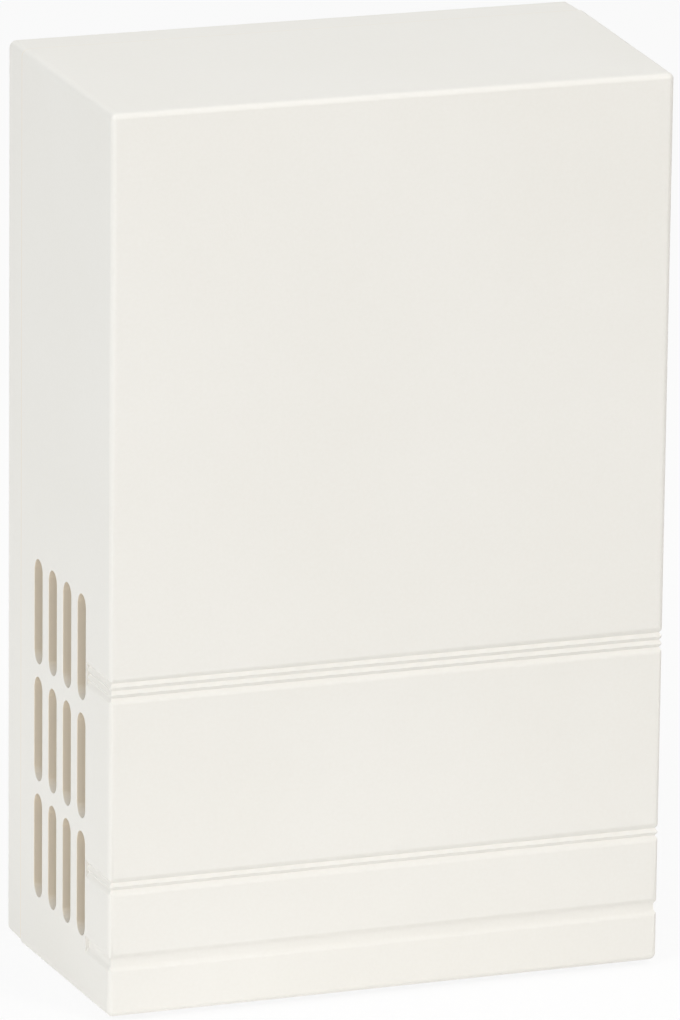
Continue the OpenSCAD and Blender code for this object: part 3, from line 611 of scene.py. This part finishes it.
coilSettings = {
    "clearance": 0.05,
    "hubWall": 0.85,  # from the guide tube out
    "flangeEdge": 0.25,
    "wire": 0.35,
    "wireGap": 0.02,  # keeps the turns apart
    "wireSides": 6,
    "wireSteps": 48,  # in a turn
    "coreDepth": 0.6,  # of a wire, from the winding's outside to its inner layers
    "tubeWall": 0.4,
    "tubeEdge": 0.12,
    "yokeEdge": 0.2,
    "steps": 96,
}
filmSettings = {
    "gap": 0.06,
    "thickness": 0.08,
    "lap": 0.12,  # turns of the film that lie double
    "lapGap": 0.015,
    "lapTurn": 200,
    "steps": 96,
}


def makeFilm(s, radius, axis):
    low, high = boxMm("coil_wrap")
    inner = radius + s["gap"]
    lift = 1 + (s["thickness"] + s["lapGap"]) / inner / s["steps"]
    bm = bmesh.new()
    edge = bm.edges.new([bm.verts.new((inner, 0, z)) for z in (low.z, high.z)])
    for i in range(round(s["steps"] * (1 + s["lap"]))):
        made = bmesh.ops.extrude_edge_only(bm, edges=[edge])["geom"]
        ends = [g for g in made if isinstance(g, bmesh.types.BMVert)]
        edge = [g for g in made if isinstance(g, bmesh.types.BMEdge)][0]
        turnAbout(bm, 2 * math.pi / s["steps"], "Z", ends)
        bmesh.ops.scale(bm, vec=(lift, lift, 1), verts=ends)
    bmesh.ops.recalc_face_normals(bm, faces=bm.faces)
    bmesh.ops.solidify(bm, geom=list(bm.faces), thickness=s["thickness"])
    turnAbout(bm, math.radians(s["lapTurn"]), "Z")
    bmesh.ops.translate(bm, vec=axis, verts=bm.verts)
    finishPiece(bm, "filmWrap", "film_wrap", "base", ["coil_wrap"])


def makeCoil(s, film):
    flange, half, centre = roundSize("coil_bobbin")
    tube, tubeHalf = roundSize("guide_tube")[:2]
    wind, windHalf = roundSize("coil_winding")[:2]
    axis, z = (centre.x, centre.y, 0), centre.z
    low, high = z - half, z + half
    hole, hub = tube + s["clearance"], tube + s["hubWall"]
    lip = half - windHalf - s["clearance"]
    bm = bmesh.new()
    spunShape(bm, [
        (hole, low), (flange, low), (flange, low + lip), (hub, low + lip), (hub, high - lip),
        (flange, high - lip), (flange, high), (hole, high), (hole, low),
    ], axis, s["steps"])
    bevelSharp(bm, s["flangeEdge"])
    finishPiece(bm, "bobbin", "natural_nylon", "base", ["coil_bobbin"])

    wire = s["wire"]
    core = wind - wire * s["coreDepth"]
    turns = math.floor((2 * windHalf - wire) / wire)
    bm = bmesh.new()  # inner layers as one body, with the last layer of wire on it
    spunRing(bm, hub + s["clearance"], core, z - windHalf, z + windHalf, axis, s["steps"])
    coiledWire(
        bm, wind - wire / 2, wire - s["wireGap"], z - windHalf + wire / 2, [(turns, wire)], axis,
        s["wireSides"], s["wireSteps"],
    )
    finishPiece(bm, "windingWire", "copper_wire", "base", ["coil_winding"])

    makeFilm(film, wind, axis)

    bm = bmesh.new()
    spunRing(bm, tube - s["tubeWall"], tube, z - tubeHalf, z + tubeHalf, axis)
    bevelSharp(bm, s["tubeEdge"])
    finishPiece(bm, "guideTube", "brass", "base", ["guide_tube"])

    solidPiece("solenoid_yoke", "yoke", "plated_steel", "base", s["yokeEdge"])


makeCoil(coilSettings, filmSettings)
print("coil made")

plungerSettings = {
    "coreEdge": 0.5,
    "boreRadius": 1.55,
    "boreDepth": 5.5,
    "pinRadius": 1.5,
    "pinEdge": 0.3,
    "rodRadius": 2.5,
    "collarHeight": 1.5,
    "collarEdge": 0.35,
    "collarGap": 0.05,  # above the spring
    "seatHole": 4.15,
    "seatEdge": 0.12,
    "springWire": 0.6,
    "springTurns": 8,
    "closedTurns": 1,  # flat turns at each end of the spring
    "closedPitch": 1.03,  # of these, in thicknesses of the wire
    "springSides": 10,
    "springSteps": 48,  # in a turn
}


def makePlunger(s):
    low, high = boxMm("plunger_core")
    axis = ((low.x + high.x) / 2, (low.y + high.y) / 2, 0)
    radius, bore, deep = (high.x - low.x) / 2, s["boreRadius"], s["boreDepth"]
    bm = bmesh.new()
    spunShape(bm, [
        (0, low.z + deep), (bore, low.z + deep), (bore, low.z), (radius, low.z),
        (radius, high.z), (bore, high.z), (bore, high.z - deep), (0, high.z - deep),
    ], axis)
    bevelSharp(bm, s["coreEdge"], 2)
    finishPiece(bm, "ironCore", "core_steel", "plunger", ["plunger_core"])

    rod, pin, point = s["rodRadius"], s["pinRadius"], s["pinEdge"]
    strikerLow, strikerHigh = boxMm("upper_striker")
    springLow, springHigh = boxMm("plunger_spring")
    collar, soft = (strikerHigh.x - strikerLow.x) / 2, s["collarEdge"]
    foot = springHigh.z + s["collarGap"]
    top = foot + s["collarHeight"]
    pinFoot = [(0, strikerLow.z), (pin - point, strikerLow.z), (pin, strikerLow.z + point), (pin, high.z)]
    bm = bmesh.new()
    spunShape(bm, pinFoot + [
        (rod, high.z), (rod, foot - soft), (rod + soft, foot), (collar - soft, foot), (collar, foot + soft),
        (collar, top - soft), (collar - soft, top), (rod + soft, top), (rod, top + soft),
    ] + domeProfile(rod, strikerHigh.z), axis)
    finishPiece(bm, "upperStriker", "natural_nylon", "plunger", ["upper_striker"])

    tipLow, tipHigh = boxMm("lower_striker")
    pinTop = [(0, tipHigh.z), (pin - point, tipHigh.z), (pin, tipHigh.z - point), (pin, low.z), (rod, low.z)]
    dome = [(r, 2 * low.z - z) for r, z in domeProfile(rod, 2 * low.z - tipLow.z)]
    bm = bmesh.new()
    spunShape(bm, pinTop + dome, axis)
    finishPiece(bm, "lowerStriker", "natural_nylon", "plunger", ["lower_striker"])

    seatLow, seatHigh = boxMm("spring_seat")
    bm = bmesh.new()
    spunRing(bm, s["seatHole"], (seatHigh.x - seatLow.x) / 2, seatLow.z, seatHigh.z, axis)
    bevelSharp(bm, s["seatEdge"], 2)
    finishPiece(bm, "springSeat", "fibre", "base", ["spring_seat"])

    wire, closed = s["springWire"], s["closedTurns"]
    first, last = seatHigh.z + wire / 2, foot - wire / 2
    coils, flat = s["springTurns"] - 2 * closed, wire * s["closedPitch"]
    pitch = (last - first - 2 * closed * flat) / coils
    stretches = [(closed, flat), (coils, pitch), (closed, flat)]
    springRadius = (springHigh.x - springLow.x - wire) / 2
    bm = bmesh.new()
    coiledWire(bm, springRadius, wire, first, stretches, axis, s["springSides"], s["springSteps"])
    spring = finishPiece(bm, "returnSpring", "spring_steel", None, ["plunger_spring"])
    spring.modifiers.clear()
    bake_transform(spring)


makePlunger(plungerSettings)
print("plunger made")

barSettings = {
    "edge": 0.3,
    "peg": 2.05,
    "waist": 3.95,  # of a grommet, within the bar's hole
    "grommetEdge": 0.5,
    "grommetRounds": 4,
    "grommetSteps": 48,
    "teeth": 6,
    "toothSteps": 8,
    "toothGap": 2.9,
    "toothRoot": 0.2,  # from the gaps out to the clip's ring
    "gapShare": 0.3,  # of a tooth and its gap
    "clipRim": 1.1,
    "clipLift": 0.3,
}


def addClip(bm, s, rim, place):  # one face thick, with its teeth lifted
    old = set(bm.verts)
    steps = s["teeth"] * s["toothSteps"]
    loops = []
    for radius in (rim, rim - s["clipRim"], s["toothGap"] + s["toothRoot"], s["peg"]):
        ring = bmesh.ops.create_circle(bm, cap_ends=False, segments=steps, radius=radius)["verts"]
        loops.append(linkedEdges(ring))
    for v in ring:  # the innermost ring: open the gaps between the teeth
        part = math.atan2(v.co.y, v.co.x) / (2 * math.pi) * s["teeth"] % 1
        if part < s["gapShare"]:
            bmesh.ops.scale(bm, vec=(s["toothGap"] / s["peg"],) * 3, verts=[v])
        else:
            v.co.z += s["clipLift"]
    for outer, inner in zip(loops, loops[1:]):
        bmesh.ops.bridge_loops(bm, edges=outer + inner)
    bmesh.ops.translate(bm, vec=place, verts=[v for v in bm.verts if v not in old])


def makeBars(s):
    for level in ("upper", "lower"):
        bar, grommets, clips = level + "_tone_bar", level + "_bar_grommets", level + "_bar_clips"
        solidPiece(bar, level + "ToneBar", "bar_steel", "base", s["edge"])

        barLow, barHigh = boxMm(bar)
        low, high = boxMm(grommets)
        peg, waist, rim = s["peg"], s["waist"], (high.y - low.y) / 2
        y = (low.y + high.y) / 2
        bm = bmesh.new()
        for x in (low.x + rim, high.x - rim):
            spunShape(bm, [
                (peg, low.z), (rim, low.z), (rim, barLow.z), (waist, barLow.z), (waist, barHigh.z),
                (rim, barHigh.z), (rim, high.z), (peg, high.z), (peg, low.z),
            ], (x, y, 0), s["grommetSteps"])
        bevelSharp(bm, s["grommetEdge"], s["grommetRounds"])
        finishPiece(bm, level + "Grommets", "grommet_rubber", "base", [grommets])

        clipLow, clipHigh = boxMm(clips)
        bm = bmesh.new()
        for x in (low.x + rim, high.x - rim):
            addClip(bm, s, (clipHigh.y - clipLow.y) / 2, (x, y, clipLow.z))
        bmesh.ops.recalc_face_normals(bm, faces=bm.faces)
        bmesh.ops.solidify(bm, geom=list(bm.faces), thickness=clipLow.z - clipHigh.z)
        finishPiece(bm, level + "Clips", "plated_steel", "base", [clips], smooth=30)


makeBars(barSettings)
print("tone bars made")

terminalSettings = {
    "blockEdge": 0.25,
    "plateEdge": 0.14,
    "clampEdge": 0.22,
    "tagHeight": -44.75,
    "solderRadius": 1.35,
    "solderHeight": 0.95,
    "solderSunk": 0.05,
    "solderFoot": (0.97, 0.08),  # share of the radius, and height
    "solderRise": [(0.8, 0.35), (0.55, 0.7), (0.36, 1), (0, 1.05)],  # shares of radius and height
    "solderSteps": 32,
}


def makeTerminals(s):
    solidPiece("terminal_block", "terminalBlock", "terminal_plastic", "base", s["blockEdge"])
    r, h, sunk = s["solderRadius"], s["solderHeight"], s["solderSunk"]
    share, footHeight = s["solderFoot"]
    profile = [(0, -sunk), (r, -sunk), (r * share, footHeight)] + [(r * a, h * b) for a, b in s["solderRise"]]
    for side in ("left", "right"):
        plate, washer = side + "_terminal_plate", side + "_clamp_washer"
        solidPiece(plate, side + "TerminalPlate", "brass", "base", s["plateEdge"])
        solidPiece(washer, side + "ClampWasher", "brass", side + "_clamp", s["clampEdge"])
        low, high = boxMm(plate)
        bm = bmesh.new()
        spunShape(bm, profile, origin, s["solderSteps"])
        turnAbout(bm, math.pi / 2, "X")
        bmesh.ops.translate(bm, vec=((low.x + high.x) / 2, low.y, s["tagHeight"]), verts=bm.verts)
        finishPiece(bm, side + "SolderJoint", "solder", "base", slot="plated_steel")


makeTerminals(terminalSettings)
print("terminals made")

# each piece: node, body, finish, turns of the slots in degrees, radii and lengths, and the tip:
# its length, and the share of the core that is left at its end
screwSettings = {
    "yokeScrews": {
        "node": "yoke_screws", "body": "base", "finish": "plated_steel", "turns": (20, -35),
        "shank": 1.45, "pitch": 1.1, "head": 2.8, "headHeight": 2.0, "tip": (1.6, 0.25),
    },
    "blockScrew": {
        "node": "terminal_block_screw", "body": "base", "finish": "plated_steel", "turns": (50,),
        "shank": 1.45, "pitch": 1.1, "head": 2.8, "headHeight": 2.0, "tip": (1.6, 0.25),
    },
    "leftTerminalScrew": {
        "node": "left_terminal_screw", "body": "left_screw", "finish": "brass", "turns": (65,),
        "shank": 1.5, "pitch": 0.5, "head": 2.8, "headHeight": 2.2, "tip": (0.4, 0.7),
    },
    "rightTerminalScrew": {
        "node": "right_terminal_screw", "body": "right_screw", "finish": "brass", "turns": (-20,),
        "shank": 1.5, "pitch": 0.5, "head": 2.8, "headHeight": 2.2, "tip": (0.4, 0.7),
    },
}
screwShape = {
    "slotWidth": 0.9,
    "slotDepth": 1.0,
    "slotReach": 3,  # of the saw, in radii of the head
    "headDome": [(0, 1), (0.4, 0.985), (0.66, 0.93), (0.84, 0.8), (0.95, 0.6), (1, 0.35)],  # shares
    "headEdge": 0.14,
    "headSteps": 48,
    "coreShare": 0.8,  # of the shank, within its thread
    "coreSteps": 32,
    "sunk": 0.05,  # of the core in the head, and of the thread in the core
    "ridge": (0.3, 0.42, 0.72),  # shares of the pitch at the ridge's two edges and its far foot
    "threadSteps": 24,  # in a turn
    "smooth": 35,
}


def sawnHead(bm, width, depth, reach, top):  # a slot across a head that looks up
    cutter = bmesh.new()
    bmesh.ops.create_cube(cutter, size=1)
    bmesh.ops.scale(cutter, vec=(reach, width, 2 * depth), verts=cutter.verts)
    bmesh.ops.translate(cutter, vec=(0, 0, top), verts=cutter.verts)
    made = []
    for name, shape in (("headBlank", bm), ("slotSaw", cutter)):
        mesh = bpy.data.meshes.new(name)
        shape.to_mesh(mesh)
        shape.free()
        made.append(bpy.data.objects.new(name, mesh))
        scene.collection.objects.link(made[-1])
    saw = made[0].modifiers.new("saw", "BOOLEAN")
    saw.object = made[1]
    saw.solver = "EXACT"
    mesh = shapedMesh(made[0])
    sawn = bmesh.new()
    sawn.from_mesh(mesh)
    bpy.data.meshes.remove(mesh)
    for thing in made:
        data = thing.data
        bpy.data.objects.remove(thing)
        bpy.data.meshes.remove(data)
    return sawn


def addThread(bm, shape, core, shank, pitch, foot, turns):
    old = set(bm.verts)
    root = core - shape["sunk"]
    rise, fall, end = (foot + pitch * share for share in shape["ridge"])
    outline = [(root, foot), (shank, rise), (shank, fall), (root, end)]
    ridge = [bm.verts.new((r, 0, z)) for r, z in outline]
    loop = [bm.edges.new((a, b)) for a, b in zip(ridge, ridge[1:] + ridge[:1])]
    steps = shape["threadSteps"]
    bmesh.ops.spin(
        bm, geom=ridge + loop, cent=origin, axis=(0, 0, 1), dvec=(0, 0, pitch / steps),
        angle=2 * math.pi * turns, steps=round(turns * steps), use_merge=False,
    )
    bmesh.ops.holes_fill(bm, edges=openEdges([v for v in bm.verts if v not in old]), sides=len(ridge))


def makeScrews(name, s, shape):
    low, high = boxMm(s["node"])
    head, tall, shank, pitch = s["head"], s["headHeight"], s["shank"], s["pitch"]
    length = high.y - low.y - tall
    core, sunk, edge = shank * shape["coreShare"], shape["sunk"], shape["headEdge"]
    tip, tipShare = s["tip"]
    dome = [(head * a, tall * b) for a, b in shape["headDome"]]
    xs = [low.x + head, high.x - head] if len(s["turns"]) == 2 else [(low.x + high.x) / 2]
    whole = bmesh.new()
    for x, turn in zip(xs, s["turns"]):
        bm = bmesh.new()
        spunShape(bm, dome + [(head, edge), (head - edge, 0), (0, 0)], origin, shape["headSteps"])
        bmesh.ops.recalc_face_normals(bm, faces=bm.faces)
        bm = sawnHead(bm, shape["slotWidth"], shape["slotDepth"], shape["slotReach"] * head, tall)
        spunShape(bm, [
            (0, sunk), (core, sunk), (core, -length + tip), (core * tipShare, -length), (0, -length),
        ], origin, shape["coreSteps"])
        addThread(bm, shape, core, shank, pitch, -length + tip, (length - tip - pitch) / pitch)
        bmesh.ops.recalc_face_normals(bm, faces=bm.faces)
        turnAbout(bm, math.pi / 2, "X")
        turnAbout(bm, math.radians(turn), "Y")
        bmesh.ops.translate(bm, vec=(x, low.y + tall, (low.z + high.z) / 2), verts=bm.verts)
        mesh = bpy.data.meshes.new("oneScrew")
        bm.to_mesh(mesh)
        bm.free()
        whole.from_mesh(mesh)
        bpy.data.meshes.remove(mesh)
    finishPiece(whole, name, s["finish"], s["body"], [s["node"]], shape["smooth"], turnOut=False)


for screwName, settings in screwSettings.items():
    makeScrews(screwName, settings, screwShape)
print("screws made")
